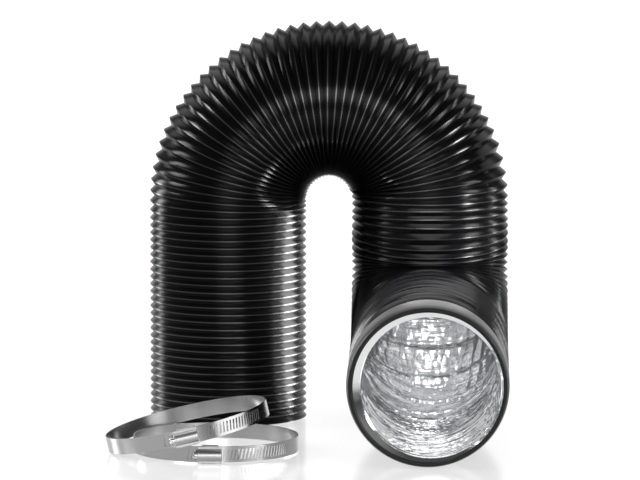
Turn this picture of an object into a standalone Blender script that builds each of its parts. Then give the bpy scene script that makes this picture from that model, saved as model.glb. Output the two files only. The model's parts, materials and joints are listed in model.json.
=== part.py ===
"""Pleated flexible air duct standing in an arch, with its mouth at the front and two worm-drive clamps.

Units are metres. The duct stands on z = 0 and its mouth faces -Y. One leg stands on its open end, the
other drops, swings a little back and bends forward along the floor to a moulded cuff.
"""
import math

import bmesh
import bpy
from mathutils import Matrix, Vector

MM = 0.001
DOWN_TO_FRONT = math.pi / 2
SHARP_ANGLE = math.radians(35)
CUT_MARGIN = 1 * MM

# Duct section: radii are measured to the flats of the faceted rings, so a flat lies on the floor
SIDES = 16
CREST_RADIUS = 56.5 * MM
VALLEY_RADIUS = 53.6 * MM
SLEEVE_BORE = 52.2 * MM
LINER_OUTER = 51.8 * MM
LINER_BORE = 51.0 * MM
SEAM_GAP = 0.3 * MM

# Duct route
LEG_HEIGHT = 157.5 * MM
ARCH_RADIUS = 72.8 * MM
SWING_BACK = math.radians(7)
SWING_LENGTH = 22 * MM
SWING_EASE = 0.5
BEND_RADIUS = 65 * MM
BEND_EASE = 0.08
MOUTH_REACH = 240 * MM
MARCH_STEP = 0.25 * MM

# Folds: half pleats on each stretch, and half pleats between the plainer rings of the bore
LEG_FOLDS = 55
ARCH_FOLDS = 44
ELBOW_FOLDS = 48
FRONT_FOLDS = 38
ARCH_BORE_STEP = 11
ELBOW_BORE_STEP = 4
LINER_BASE_LIFT = 0.8 * MM

# Moulded cuff, bright hoop and wire turns at the mouth, measured back from the rim
ROUND_SIDES = 40
CUFF_LENGTH = 35 * MM
CUFF_RADIUS = CREST_RADIUS
CUFF_SOCKET_RADIUS = 55.3 * MM
CUFF_SEAT_RADIUS = 52.7 * MM
CUFF_STEP = 14 * MM
LIP_ROUND = 1.8 * MM
CUFF_CHAMFER = 0.7 * MM
SLEEVE_NECK = 4 * MM
HOOP_FRONT = 2.2 * MM
HOOP_BACK = 13 * MM
HOOP_FRONT_RADIUS = 52.4 * MM
HOOP_BACK_RADIUS = 49.6 * MM
HOOP_WALL = 0.9 * MM
HOOP_BEAD = 1.1 * MM
WIRE_RADIUS = 0.6 * MM
WIRE_COIL_RADIUS = 54.2 * MM
WIRE_TURNS = 2.5
WIRE_PITCH = 4.6 * MM
WIRE_START = 16.5 * MM
POINTS_PER_TURN = 24

# Worm-drive clamp
BAND_RADIUS = 56.6 * MM
BAND_THICKNESS = 0.7 * MM
BAND_WIDTH = 11 * MM
BAND_LAP_GAP = 0.3 * MM
BAND_START = math.radians(-108)
BAND_SWEEP = math.radians(398)
PLAIN_STEP = math.radians(11)
SLOT_COUNT = 30
SLOT_FIRST = math.radians(-105.4)
SLOT_PITCH = math.radians(2.64)
SLOT_WIDTH = math.radians(1.32)
SLOT_HALF_HEIGHT = 3.6 * MM
SLOT_SLANT = math.radians(0.75)
HOUSING_AT = math.radians(-90)
SADDLE_HALF_ANGLE = math.radians(5.7)
SADDLE_WALL = 0.7 * MM
SADDLE_HALF_HEIGHT = 6.5 * MM
SADDLE_LIP = 4.7 * MM
SADDLE_CLEARANCE = 0.35 * MM
SADDLE_STEPS = 4
HOUSING_LENGTH = 16.5 * MM
HOUSING_BARREL_RADIUS = 4.1 * MM
HOUSING_ARC_STEPS = 8
HOUSING_FLANGE_HALF = 5.9 * MM
HOUSING_FLANGE = 0.9 * MM
HOUSING_END_WALL = 1.6 * MM
SCREW_OFFSET = 5.4 * MM
WORM_RADIUS = 3.1 * MM
WORM_CLEARANCE = 0.4 * MM
NECK_RADIUS = 1.6 * MM
NECK_CLEARANCE = 0.3 * MM
HEAD_RADIUS = 2.2 * MM
HEAD_LENGTH = 3.0 * MM
HEAD_SLOT_WIDTH = 0.8 * MM
HEAD_SLOT_DEPTH = 1.2 * MM
SCREW_BEVEL = 0.4 * MM
SCREW_SIDES = 16

# Where the clamps lie: A flat on the floor, B leaning on it with its left side on the floor
CLAMP_A_CENTRE = Vector((-76.2, -166.0, 6.25)) * MM
CLAMP_A_TILT = math.radians(-0.45)
CLAMP_A_YAW = math.radians(-1.7)
CLAMP_B_CENTRE = Vector((-96.2, -166.6, 18.69)) * MM
CLAMP_B_TILT = math.radians(-13)
CLAMP_B_YAW = math.radians(1.8)


def clear_scene():
    for item in list(bpy.data.objects):
        bpy.data.objects.remove(item, do_unlink=True)


def make_material(name, colour, roughness, metallic=0.0):
    material = bpy.data.materials.new(name)
    material.use_nodes = True
    shader = material.node_tree.nodes["Principled BSDF"]
    shader.inputs["Base Color"].default_value = (*colour, 1.0)
    shader.inputs["Roughness"].default_value = roughness
    shader.inputs["Metallic"].default_value = metallic
    return material


def add_object(name, mesh_builder, material, parent):
    """Turn a bmesh into a named object with its faces pointing out."""
    bmesh.ops.recalc_face_normals(mesh_builder, faces=mesh_builder.faces)
    mesh = bpy.data.meshes.new(name)
    mesh_builder.to_mesh(mesh)
    mesh_builder.free()
    mesh.shade_smooth()
    mesh.set_sharp_from_angle(angle=SHARP_ANGLE)
    mesh.materials.append(material)
    item = bpy.data.objects.new(name, mesh)
    item.parent = parent
    bpy.context.collection.objects.link(item)
    return item


def add_empty(name, parent=None):
    item = bpy.data.objects.new(name, None)
    item.parent = parent
    bpy.context.collection.objects.link(item)
    return item


# Route of the duct: each function gives a ring's centre and its two axes

def leg_frame(height):
    """Ring on the standing leg at a height above the floor."""
    return Vector((-ARCH_RADIUS, 0, height)), Vector((1, 0, 0)), Vector((0, 1, 0))


def arch_frame(turn):
    """Ring on the arch, which turns half a circle from the standing leg to the dropping one."""
    centre = Vector((-ARCH_RADIUS * math.cos(turn), 0, LEG_HEIGHT + ARCH_RADIUS * math.sin(turn)))
    return centre, Vector((math.cos(turn), 0, -math.sin(turn))), Vector((0, 1, 0))


def eased(part, ease):
    """Share of a turn made after a part of its length, with its curvature eased in and out."""
    if part < ease:
        return part * part / (2 * ease * (1 - ease))
    if part > 1 - ease:
        return 1 - (1 - part) ** 2 / (2 * ease * (1 - ease))
    return (part - ease / 2) / (1 - ease)


BEND_TURN = DOWN_TO_FRONT + SWING_BACK
BEND_LENGTH = BEND_RADIUS * BEND_TURN


def bend_tilt(distance):
    """Tilt of the axis from straight down, after the straight drop: first back, then to the front."""
    if distance < SWING_LENGTH:
        return -SWING_BACK * eased(distance / SWING_LENGTH, SWING_EASE)
    part = min(1.0, (distance - SWING_LENGTH) / BEND_LENGTH)
    return BEND_TURN * eased(part, BEND_EASE) - SWING_BACK


def bend_offset(distance):
    """Sum of the small steps down and forward along the bend."""
    steps = max(1, math.ceil(distance / MARCH_STEP))
    step = distance / steps
    forward = 0.0
    down = 0.0
    for index in range(steps):
        tilt = bend_tilt((index + 0.5) * step)
        forward += math.sin(tilt) * step
        down += math.cos(tilt) * step
    return forward, down


BEND_FORWARD, BEND_DOWN = bend_offset(SWING_LENGTH + BEND_LENGTH)
DROP_STRAIGHT = LEG_HEIGHT - CREST_RADIUS - BEND_DOWN
ELBOW_LENGTH = DROP_STRAIGHT + SWING_LENGTH + BEND_LENGTH


def drop_frame(distance):
    """Ring on the dropping leg and the run along the floor, by distance from the end of the arch."""
    bent = max(0.0, distance - DROP_STRAIGHT)
    forward, down = bend_offset(bent)
    down += min(distance, DROP_STRAIGHT)
    tilt = bend_tilt(bent)
    centre = Vector((ARCH_RADIUS, -forward, LEG_HEIGHT - down))
    return centre, Vector((-1, 0, 0)), Vector((0, math.cos(tilt), -math.sin(tilt)))


def mouth_frame(back):
    """Ring at a distance back from the mouth's rim."""
    return Vector((ARCH_RADIUS, back - MOUTH_REACH, CREST_RADIUS)), Vector((-1, 0, 0)), Vector((0, 0, -1))


def ring(frame, radius, sides):
    """Points of a polygon whose flats are at the radius, with a flat on each side of the second axis."""
    centre, first, second = frame
    corner = radius / math.cos(math.pi / sides)
    angles = [(index + 0.5) * math.tau / sides for index in range(sides)]
    return [centre + corner * (math.cos(a) * first + math.sin(a) * second) for a in angles]


def skin_rings(mesh_builder, rings, closed):
    """Join rings of points with quads; a closed row of rings joins its last ring to its first."""
    rows = [[mesh_builder.verts.new(point) for point in points] for points in rings]
    pairs = list(zip(rows, rows[1:] + rows[:1])) if closed else list(zip(rows, rows[1:]))
    for near, far in pairs:
        for index in range(len(near)):
            after = (index + 1) % len(near)
            mesh_builder.faces.new((near[index], near[after], far[after], far[index]))


def tube(outer, inner):
    """Closed wall between an outer row of rings and an inner one, with flat ends."""
    mesh_builder = bmesh.new()
    skin_rings(mesh_builder, outer + inner[::-1], closed=True)
    return mesh_builder


def stations(start, end, count, start_gap=SEAM_GAP / 2, end_gap=SEAM_GAP / 2):
    """Even stations along a stretch, with its ends drawn in by half a seam."""
    places = [start + (end - start) * index / count for index in range(count + 1)]
    places[0] += start_gap
    places[-1] -= end_gap
    return places


def pleated(frame_at, places, crest_first):
    """Rings that step between the crest and the valley of the folds."""
    radii = (CREST_RADIUS, VALLEY_RADIUS) if crest_first else (VALLEY_RADIUS, CREST_RADIUS)
    return [ring(frame_at(place), radii[index % 2], SIDES) for index, place in enumerate(places)]


def plain(frame_at, places, radius):
    return [ring(frame_at(place), radius, SIDES) for place in places]


def every(places, step):
    """Each step-th place, always with the last one."""
    return places[:-1:step] + places[-1:]


def arch_places():
    """Stations of the two halves of the arch as turning angles."""
    gap = SEAM_GAP / 2 / ARCH_RADIUS
    rise = stations(0.0, math.pi / 2, ARCH_FOLDS, gap, gap)
    fall = stations(math.pi / 2, math.pi, ARCH_FOLDS, gap, gap)
    return rise, fall


def front_run_places():
    """Stations of the run along the floor, ending in a plain neck inside the cuff."""
    run_end = ELBOW_LENGTH + MOUTH_REACH - BEND_FORWARD - CUFF_LENGTH
    places = stations(ELBOW_LENGTH, run_end, FRONT_FOLDS, SEAM_GAP / 2, SEAM_GAP)
    return places, places[-1] + SLEEVE_NECK


def build_sleeve(material, parent):
    """Pleated outer sleeve, one skin divided where it bends or stretches."""
    leg = stations(0.0, LEG_HEIGHT, LEG_FOLDS, start_gap=0.0)
    rise, fall = arch_places()
    elbow = stations(0.0, ELBOW_LENGTH, ELBOW_FOLDS)
    front, neck_end = front_run_places()
    sections = (
        ("sleeve_standing_leg", leg_frame, leg, True, LEG_FOLDS),
        ("sleeve_arch_rise", arch_frame, rise, False, ARCH_BORE_STEP),
        ("sleeve_arch_fall", arch_frame, fall, False, ARCH_BORE_STEP),
        ("sleeve_elbow", drop_frame, elbow, False, ELBOW_BORE_STEP),
    )
    for name, frame_at, places, crest_first, bore_step in sections:
        outer = pleated(frame_at, places, crest_first)
        inner = plain(frame_at, every(places, bore_step), SLEEVE_BORE)
        add_object(name, tube(outer, inner), material, parent)
    outer = pleated(drop_frame, front, False) + plain(drop_frame, [neck_end], VALLEY_RADIUS)
    inner = plain(drop_frame, [front[0], neck_end], SLEEVE_BORE)
    add_object("sleeve_front", tube(outer, inner), material, parent)


def build_liner(material, parent):
    """Foil liner inside the sleeve, with rings at the same places as the sleeve's bore."""
    leg = stations(0.0, LEG_HEIGHT, LEG_FOLDS, start_gap=LINER_BASE_LIFT, end_gap=0.0)
    rise, fall = arch_places()
    turns = every(rise, ARCH_BORE_STEP) + every(fall, ARCH_BORE_STEP)[1:]
    elbow = every(stations(0.0, ELBOW_LENGTH, ELBOW_FOLDS), ELBOW_BORE_STEP)
    front, _ = front_run_places()
    front_end = ELBOW_LENGTH + MOUTH_REACH - BEND_FORWARD - CUFF_STEP

    def main_rings(radius):
        return plain(leg_frame, leg[:1], radius) + plain(arch_frame, turns, radius)

    def run_rings(places, radius):
        return plain(drop_frame, places, radius)

    add_object("liner_main", tube(main_rings(LINER_OUTER), main_rings(LINER_BORE)), material, parent)
    for name, places in (("liner_elbow", elbow), ("liner_front", [front[0], front_end])):
        wall = tube(run_rings(places, LINER_OUTER), run_rings(places, LINER_BORE))
        add_object(name, wall, material, parent)


def turned(profile):
    """Closed profile of (distance back from the rim, radius) turned about the mouth's axis."""
    mesh_builder = bmesh.new()
    rings = [ring(mouth_frame(back), radius, ROUND_SIDES) for back, radius in profile]
    skin_rings(mesh_builder, rings, closed=True)
    return mesh_builder


def quarter_round(back, radius, size, steps=3):
    """Points of the rounded outer edge of a lip, from its flat rim to its side."""
    angles = [math.pi / 2 * index / steps for index in range(steps + 1)]
    return [(back + size * (1 - math.cos(a)), radius - size * (1 - math.sin(a))) for a in angles]


def build_mouth(cuff_material, hoop_material, wire_material, parent):
    """Moulded cuff, bright hoop inside its lip and the last turns of the spring wire under it."""
    outer_edge = quarter_round(0.0, CUFF_RADIUS, LIP_ROUND)
    cuff = outer_edge + [
        (CUFF_LENGTH - CUFF_CHAMFER, CUFF_RADIUS),
        (CUFF_LENGTH, CUFF_RADIUS - CUFF_CHAMFER),
        (CUFF_LENGTH, CUFF_SOCKET_RADIUS),
        (CUFF_STEP, CUFF_SOCKET_RADIUS),
        (CUFF_STEP, CUFF_SEAT_RADIUS),
        (CUFF_CHAMFER, CUFF_SEAT_RADIUS),
        (0.0, CUFF_SEAT_RADIUS + CUFF_CHAMFER),
    ]
    add_object("front_cuff", turned(cuff), cuff_material, parent)
    hoop = [
        (HOOP_FRONT, HOOP_FRONT_RADIUS - HOOP_BEAD / 2),
        (HOOP_FRONT + HOOP_BEAD / 2, HOOP_FRONT_RADIUS),
        (HOOP_BACK, HOOP_BACK_RADIUS + HOOP_WALL),
        (HOOP_BACK, HOOP_BACK_RADIUS),
        (HOOP_FRONT + 2 * HOOP_BEAD, HOOP_FRONT_RADIUS - HOOP_WALL - HOOP_BEAD / 2),
        (HOOP_FRONT + HOOP_BEAD / 2, HOOP_FRONT_RADIUS - HOOP_WALL - HOOP_BEAD / 2),
    ]
    add_object("mouth_ring", turned(hoop), hoop_material, parent)
    build_wire(wire_material, parent)


def build_wire(material, parent):
    """Last free turns of the sleeve's spring wire, one unbroken tube inside the cuff's socket."""
    count = int(WIRE_TURNS * POINTS_PER_TURN)
    points = []
    for index in range(count + 1):
        turn = index / POINTS_PER_TURN
        centre, first, second = mouth_frame(WIRE_START + WIRE_PITCH * turn)
        angle = math.tau * turn
        points.append(centre + WIRE_COIL_RADIUS * (math.cos(angle) * first + math.sin(angle) * second))
    curve = bpy.data.curves.new("wire_end_turns", "CURVE")
    curve.dimensions = "3D"
    curve.bevel_depth = WIRE_RADIUS
    curve.bevel_resolution = 1
    curve.use_fill_caps = True
    spline = curve.splines.new("POLY")
    spline.points.add(count)
    for place, point in zip(spline.points, points):
        place.co = (*point, 1.0)
    curve.materials.append(material)
    item = bpy.data.objects.new("wire_end_turns", curve)
    item.parent = parent
    bpy.context.collection.objects.link(item)
    least = min(
        (points[i] - points[j]).length
        for i in range(count + 1)
        for j in range(i + POINTS_PER_TURN // 2, count + 1)
    )
    print("wire turns, least gap in mm:", round((least - 2 * WIRE_RADIUS) / MM, 2))


# Worm-drive clamp in its own frame: the hoop's axis is Z and the screw housing is at -Y

def band_point(angle, height, outer_face):
    """Point on the band, which winds inward by one layer in each full turn."""
    layer = BAND_THICKNESS + BAND_LAP_GAP
    radius = BAND_RADIUS + layer * (1 - (angle - BAND_START) / math.tau)
    if outer_face:
        radius += BAND_THICKNESS
    return Vector((radius * math.cos(angle), radius * math.sin(angle), height))


def band_columns():
    """Angles across the band with their slant, and the columns that are open slots."""
    columns = [(BAND_START, 0.0)]
    slots = set()
    for index in range(SLOT_COUNT):
        left = SLOT_FIRST + index * SLOT_PITCH
        slots.add(len(columns))
        columns.append((left, SLOT_SLANT))
        columns.append((left + SLOT_WIDTH, SLOT_SLANT))
    slotted_end = len(columns) - 1
    start = columns[-1][0] + PLAIN_STEP / 4
    end = BAND_START + BAND_SWEEP
    count = math.ceil((end - start) / PLAIN_STEP)
    columns += [(start + (end - start) * index / count, 0.0) for index in range(count + 1)]
    return columns, slots, slotted_end


def band_mesh():
    """Strip with slanted slots in its lapped end; the plain part has no inner rows."""
    mesh_builder = bmesh.new()
    columns, slots, slotted_end = band_columns()
    heights = (-BAND_WIDTH / 2, -SLOT_HALF_HEIGHT, SLOT_HALF_HEIGHT, BAND_WIDTH / 2)
    rows = range(len(heights))
    grid = []
    for index, (angle, slant) in enumerate(columns):
        used = rows if index <= slotted_end else (0, len(heights) - 1)
        faces = []
        for outer_face in (False, True):
            line = {}
            for row in used:
                shift = slant * heights[row] / SLOT_HALF_HEIGHT
                line[row] = mesh_builder.verts.new(band_point(angle + shift, heights[row], outer_face))
            faces.append(line)
        grid.append(faces)

    def wall(first, second):
        mesh_builder.faces.new((first[0], second[0], second[1], first[1]))

    def pair(index, row):
        return grid[index][0][row], grid[index][1][row]

    last_row = len(heights) - 1
    for index in range(len(columns) - 1):
        near_rows = sorted(grid[index][0])
        far_rows = sorted(grid[index + 1][0])
        if near_rows == far_rows and len(near_rows) > 2:
            bands = list(zip(near_rows, near_rows[1:]))
        else:
            bands = [(0, last_row)]
        for low, high in bands:
            if index in slots and low == 1:
                continue
            for side in (0, 1):
                near = [grid[index][side][row] for row in near_rows if low <= row <= high]
                far = [grid[index + 1][side][row] for row in far_rows if low <= row <= high]
                mesh_builder.faces.new(near + far[::-1])
        for row in (0, last_row):
            wall(pair(index, row), pair(index + 1, row))
        if index in slots:
            for row in (1, 2):
                wall(pair(index, row), pair(index + 1, row))
            for column in (index, index + 1):
                wall(pair(column, 1), pair(column, 2))
    for low, high in zip(rows, rows[1:]):
        wall(pair(0, low), pair(0, high))
    wall(pair(len(columns) - 1, 0), pair(len(columns) - 1, last_row))
    return mesh_builder


def saddle_mesh():
    """Clip that wraps both layers of the band, curved with it: inner plate, edges and two lips."""
    mesh_builder = bmesh.new()
    inner = BAND_RADIUS - SADDLE_CLEARANCE
    outer = BAND_RADIUS + 2 * BAND_THICKNESS + BAND_LAP_GAP + SADDLE_CLEARANCE
    edge = SADDLE_HALF_HEIGHT - SADDLE_WALL
    profile = (
        (inner - SADDLE_WALL, -SADDLE_HALF_HEIGHT),
        (outer + SADDLE_WALL, -SADDLE_HALF_HEIGHT),
        (outer + SADDLE_WALL, -SADDLE_LIP),
        (outer, -SADDLE_LIP),
        (outer, -edge),
        (inner, -edge),
        (inner, edge),
        (outer, edge),
        (outer, SADDLE_LIP),
        (outer + SADDLE_WALL, SADDLE_LIP),
        (outer + SADDLE_WALL, SADDLE_HALF_HEIGHT),
        (inner - SADDLE_WALL, SADDLE_HALF_HEIGHT),
    )
    rings = []
    for index in range(SADDLE_STEPS + 1):
        angle = HOUSING_AT + SADDLE_HALF_ANGLE * (2 * index / SADDLE_STEPS - 1)
        rings.append([Vector((r * math.cos(angle), r * math.sin(angle), z)) for r, z in profile])
    skin_rings(mesh_builder, rings, closed=False)
    mesh_builder.verts.ensure_lookup_table()
    size = len(profile)
    mesh_builder.faces.new(mesh_builder.verts[:size])
    mesh_builder.faces.new(mesh_builder.verts[-size:])
    return mesh_builder


def along_screw(profile_points, places):
    """Rings of a profile in the housing's cross-section, set along the screw (local X)."""
    return [[Vector((place, -out, height)) for out, height in profile_points] for place in places]


def capped(rings):
    mesh_builder = bmesh.new()
    skin_rings(mesh_builder, rings, closed=False)
    mesh_builder.verts.ensure_lookup_table()
    size = len(rings[0])
    mesh_builder.faces.new(mesh_builder.verts[:size])
    mesh_builder.faces.new(mesh_builder.verts[-size:])
    return mesh_builder


def circle(radius, sides=SCREW_SIDES):
    """Round section about the screw's axis as (distance out from the hoop's axis, height)."""
    centre = BAND_RADIUS + SCREW_OFFSET
    angles = [math.tau * (index + 0.5) / sides for index in range(sides)]
    return [(centre + radius * math.cos(a), radius * math.sin(a)) for a in angles]


def cut(item, cutter):
    """Cut one object with another that stays as a hidden guide."""
    cutter.hide_render = True
    cutter.display_type = "WIRE"
    modifier = item.modifiers.new(cutter.name, "BOOLEAN")
    modifier.operation = "DIFFERENCE"
    modifier.solver = "EXACT"
    modifier.object = cutter


def build_housing(name, material, parent):
    """Arched housing over the worm, with a flange on each side, an open tunnel and a neck hole."""
    foot = BAND_RADIUS + 2 * BAND_THICKNESS + BAND_LAP_GAP + SADDLE_CLEARANCE + SADDLE_WALL + SEAM_GAP
    centre = BAND_RADIUS + SCREW_OFFSET
    arc = [math.pi * (0.5 - index / HOUSING_ARC_STEPS) for index in range(HOUSING_ARC_STEPS + 1)]
    roof = [
        (centre + HOUSING_BARREL_RADIUS * math.cos(a), HOUSING_BARREL_RADIUS * math.sin(a)) for a in arc
    ]
    profile = [(foot, HOUSING_FLANGE_HALF), (foot + HOUSING_FLANGE, HOUSING_FLANGE_HALF)]
    profile += [(foot + HOUSING_FLANGE, HOUSING_BARREL_RADIUS)] + roof
    profile += [(foot + HOUSING_FLANGE, -HOUSING_BARREL_RADIUS)]
    profile += [(foot + HOUSING_FLANGE, -HOUSING_FLANGE_HALF), (foot, -HOUSING_FLANGE_HALF)]
    half = HOUSING_LENGTH / 2
    housing = add_object(name, capped(along_screw(profile, (-half, half))), material, parent)

    tunnel_radius = WORM_RADIUS + WORM_CLEARANCE
    tunnel_half = half - HOUSING_END_WALL
    cutters = (
        ("worm_tunnel", circle(tunnel_radius), (-tunnel_half, tunnel_half)),
        ("neck_hole", circle(NECK_RADIUS + NECK_CLEARANCE), (-half - CUT_MARGIN, 0.0)),
    )
    for label, section, places in cutters:
        cut(housing, add_object(name + "_" + label, capped(along_screw(section, places)), material, parent))


def build_screw(name, material, parent):
    """Turned worm screw with its neck in the housing's end wall and a slotted head outside it."""
    half = HOUSING_LENGTH / 2
    worm_half = half - HOUSING_END_WALL - SEAM_GAP
    head_start = -half - SEAM_GAP
    profile = (
        (worm_half, WORM_RADIUS - SCREW_BEVEL),
        (worm_half - SCREW_BEVEL, WORM_RADIUS),
        (-worm_half + SCREW_BEVEL, WORM_RADIUS),
        (-worm_half, WORM_RADIUS - SCREW_BEVEL),
        (-worm_half, NECK_RADIUS),
        (head_start, NECK_RADIUS),
        (head_start, HEAD_RADIUS),
        (head_start - HEAD_LENGTH + SCREW_BEVEL, HEAD_RADIUS),
        (head_start - HEAD_LENGTH, HEAD_RADIUS - SCREW_BEVEL),
    )
    rings = []
    for place, radius in profile:
        rings += along_screw(circle(radius), (place,))
    screw = add_object(name, capped(rings), material, parent)
    slot_half = HEAD_SLOT_WIDTH / 2
    centre = BAND_RADIUS + SCREW_OFFSET
    reach = 2 * HEAD_RADIUS
    section = ((centre - reach, -slot_half), (centre + reach, -slot_half))
    section += ((centre + reach, slot_half), (centre - reach, slot_half))
    slot_end = head_start - HEAD_LENGTH
    places = (slot_end - CUT_MARGIN, slot_end + HEAD_SLOT_DEPTH)
    cut(screw, add_object(name + "_driver_slot", capped(along_screw(section, places)), material, parent))


def build_clamp(name, band_material, screw_material, parent):
    add_object(name + "_band", band_mesh(), band_material, parent)
    add_object(name + "_saddle", saddle_mesh(), band_material, parent)
    build_housing(name + "_housing", band_material, parent)
    build_screw(name + "_screw", screw_material, parent)


def place_clamp(name, centre, tilt_axis, tilt, yaw, parent):
    empty = add_empty(name, parent)
    turn = Matrix.Rotation(tilt, 4, tilt_axis) @ Matrix.Rotation(yaw, 4, "Z")
    empty.matrix_local = Matrix.Translation(centre) @ turn
    return empty


def stand_on_origin(root):
    """Set the assembly so that the middle of its box is over the origin and its base is at z = 0."""
    graph = bpy.context.evaluated_depsgraph_get()
    corners = []
    for item in bpy.context.scene.objects:
        if item.type == "EMPTY" or item.hide_render:
            continue
        solid = item.evaluated_get(graph)
        corners += [solid.matrix_world @ vertex.co for vertex in solid.to_mesh().vertices]
        solid.to_mesh_clear()
    low = Vector([min(point[axis] for point in corners) for axis in range(3)])
    high = Vector([max(point[axis] for point in corners) for axis in range(3)])
    root.location = (-(low.x + high.x) / 2, -(low.y + high.y) / 2, -low.z)
    print("box in mm:", [round(side / MM, 2) for side in high - low], "base at", round(low.z / MM, 3))


def main():
    clear_scene()
    pvc = make_material("black_pvc_film", (0.02, 0.02, 0.021), 0.38)
    foil = make_material("aluminium_foil", (0.78, 0.79, 0.80), 0.25, 1.0)
    moulded = make_material("black_moulded_pvc", (0.025, 0.025, 0.026), 0.3)
    bright = make_material("bright_steel", (0.80, 0.80, 0.81), 0.08, 1.0)
    wire = make_material("spring_wire", (0.55, 0.55, 0.55), 0.3, 1.0)
    stainless = make_material("stainless_strip", (0.72, 0.72, 0.72), 0.2, 1.0)
    plated = make_material("plated_screw", (0.66, 0.66, 0.66), 0.25, 1.0)

    root = add_empty("duct_root")
    build_sleeve(pvc, root)
    build_liner(foil, root)
    build_mouth(moulded, bright, wire, root)
    clamp_a = place_clamp("clamp_a", CLAMP_A_CENTRE, "X", CLAMP_A_TILT, CLAMP_A_YAW, root)
    clamp_b = place_clamp("clamp_b", CLAMP_B_CENTRE, "Y", CLAMP_B_TILT, CLAMP_B_YAW, root)
    build_clamp("clamp_a", stainless, plated, clamp_a)
    build_clamp("clamp_b", stainless, plated, clamp_b)
    bpy.context.view_layer.update()
    stand_on_origin(root)


main()
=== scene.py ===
"""Looks of a flexible air duct: pleated sleeve, foil liner, cuffed mouth and two worm-drive clamps.

Each operator dresses one piece, or one group of like pieces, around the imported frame. Lengths are metres.
"""
import json
import math

import bmesh
import bpy
import numpy as np
from mathutils import Matrix, Vector


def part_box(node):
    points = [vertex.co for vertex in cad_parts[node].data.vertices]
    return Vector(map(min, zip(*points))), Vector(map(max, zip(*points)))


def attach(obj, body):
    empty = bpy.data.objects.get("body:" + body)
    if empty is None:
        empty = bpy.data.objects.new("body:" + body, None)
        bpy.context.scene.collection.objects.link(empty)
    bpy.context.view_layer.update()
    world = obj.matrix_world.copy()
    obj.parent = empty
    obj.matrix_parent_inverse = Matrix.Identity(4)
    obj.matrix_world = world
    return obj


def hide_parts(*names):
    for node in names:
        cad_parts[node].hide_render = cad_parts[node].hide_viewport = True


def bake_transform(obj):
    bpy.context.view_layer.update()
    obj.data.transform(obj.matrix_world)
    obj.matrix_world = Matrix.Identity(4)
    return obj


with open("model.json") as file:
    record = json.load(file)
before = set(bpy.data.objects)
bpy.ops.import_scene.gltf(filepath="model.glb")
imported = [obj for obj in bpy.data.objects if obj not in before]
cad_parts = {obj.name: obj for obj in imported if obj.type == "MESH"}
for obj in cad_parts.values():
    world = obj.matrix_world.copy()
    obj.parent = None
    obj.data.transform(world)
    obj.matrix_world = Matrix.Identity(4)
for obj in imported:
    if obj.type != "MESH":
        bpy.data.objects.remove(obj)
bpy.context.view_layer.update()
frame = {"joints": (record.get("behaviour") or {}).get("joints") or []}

bl_info = {
    "name": "Flexible Air Duct",
    "version": (1, 0, 0),
    "blender": (4, 5, 0),
    "location": "View3D > Sidebar > Air Duct",
    "description": "Dresses a pleated air duct, its foil liner, cuffed mouth and worm-drive clamps",
    "category": "Object",
}

MM = 0.001
SHARP_ANGLE = math.radians(40)


def linear(hex_colour):
    """Linear RGBA of an sRGB hex colour."""
    parts = [int(hex_colour[place:place + 2], 16) / 255 for place in (1, 3, 5)]
    light = [part / 12.92 if part <= 0.04045 else ((part + 0.055) / 1.055) ** 2.4 for part in parts]
    return (*light, 1.0)


# Places and sizes read from the frame
LEG_LOW, LEG_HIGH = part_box("sleeve_standing_leg")
CUFF_LOW, CUFF_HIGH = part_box("front_cuff")
SEAM_GAP = 0.3 * MM
CREST_RADIUS = (LEG_HIGH.x - LEG_LOW.x) / 2
LEG_X = (LEG_LOW.x + LEG_HIGH.x) / 2
DROP_X = (CUFF_LOW.x + CUFF_HIGH.x) / 2
DUCT_Y = (LEG_LOW.y + LEG_HIGH.y) / 2
LEG_HEIGHT = LEG_HIGH.z + SEAM_GAP / 2
ARCH_X = (LEG_X + DROP_X) / 2
ARCH_RADIUS = (DROP_X - LEG_X) / 2
MOUTH_Y = CUFF_LOW.y
CUFF_LENGTH = CUFF_HIGH.y - CUFF_LOW.y

# Route of the duct past the arch: it drops, swings a little back, then bends forward along the floor
SWING_BACK = math.radians(7)
SWING_LENGTH = 22 * MM
SWING_EASE = 0.5
BEND_RADIUS = 65 * MM
BEND_EASE = 0.08
BEND_TURN = math.pi / 2 + SWING_BACK
BEND_SPAN = SWING_LENGTH + BEND_RADIUS * BEND_TURN
MARCH_STEPS = 500
ARCH_EASE = 16 * MM


def eased(part, ease):
    """Zero to one as a part goes from zero to one, straight in the middle and rounded at both ends."""
    part = np.clip(part, 0.0, 1.0)
    rounding = 2 * ease * (1 - ease)
    rise = part ** 2 / rounding
    fall = 1 - (1 - part) ** 2 / rounding
    middle = (part - ease / 2) / (1 - ease)
    return np.where(part < ease, rise, np.where(part > 1 - ease, fall, middle))


def bend_tilt(distance):
    """Tilt of the axis from straight down, after the straight drop: first back, then to the front."""
    swing = SWING_BACK * eased(distance / SWING_LENGTH, SWING_EASE)
    bend = BEND_TURN * eased((distance - SWING_LENGTH) / (BEND_SPAN - SWING_LENGTH), BEND_EASE)
    return bend - swing


MARCH = np.linspace(0.0, BEND_SPAN, MARCH_STEPS + 1)
MARCH_TILT = bend_tilt((MARCH[1:] + MARCH[:-1]) / 2)
MARCH_FORWARD = np.append(0.0, np.cumsum(np.sin(MARCH_TILT))) * BEND_SPAN / MARCH_STEPS
MARCH_DOWN = np.append(0.0, np.cumsum(np.cos(MARCH_TILT))) * BEND_SPAN / MARCH_STEPS
DROP_STRAIGHT = LEG_HEIGHT - CREST_RADIUS - MARCH_DOWN[-1]
ARCH_END = LEG_HEIGHT + math.pi * ARCH_RADIUS
ELBOW_END = ARCH_END + DROP_STRAIGHT + BEND_SPAN
ROUTE_END = ELBOW_END + DUCT_Y - MARCH_FORWARD[-1] - MOUTH_Y


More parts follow.
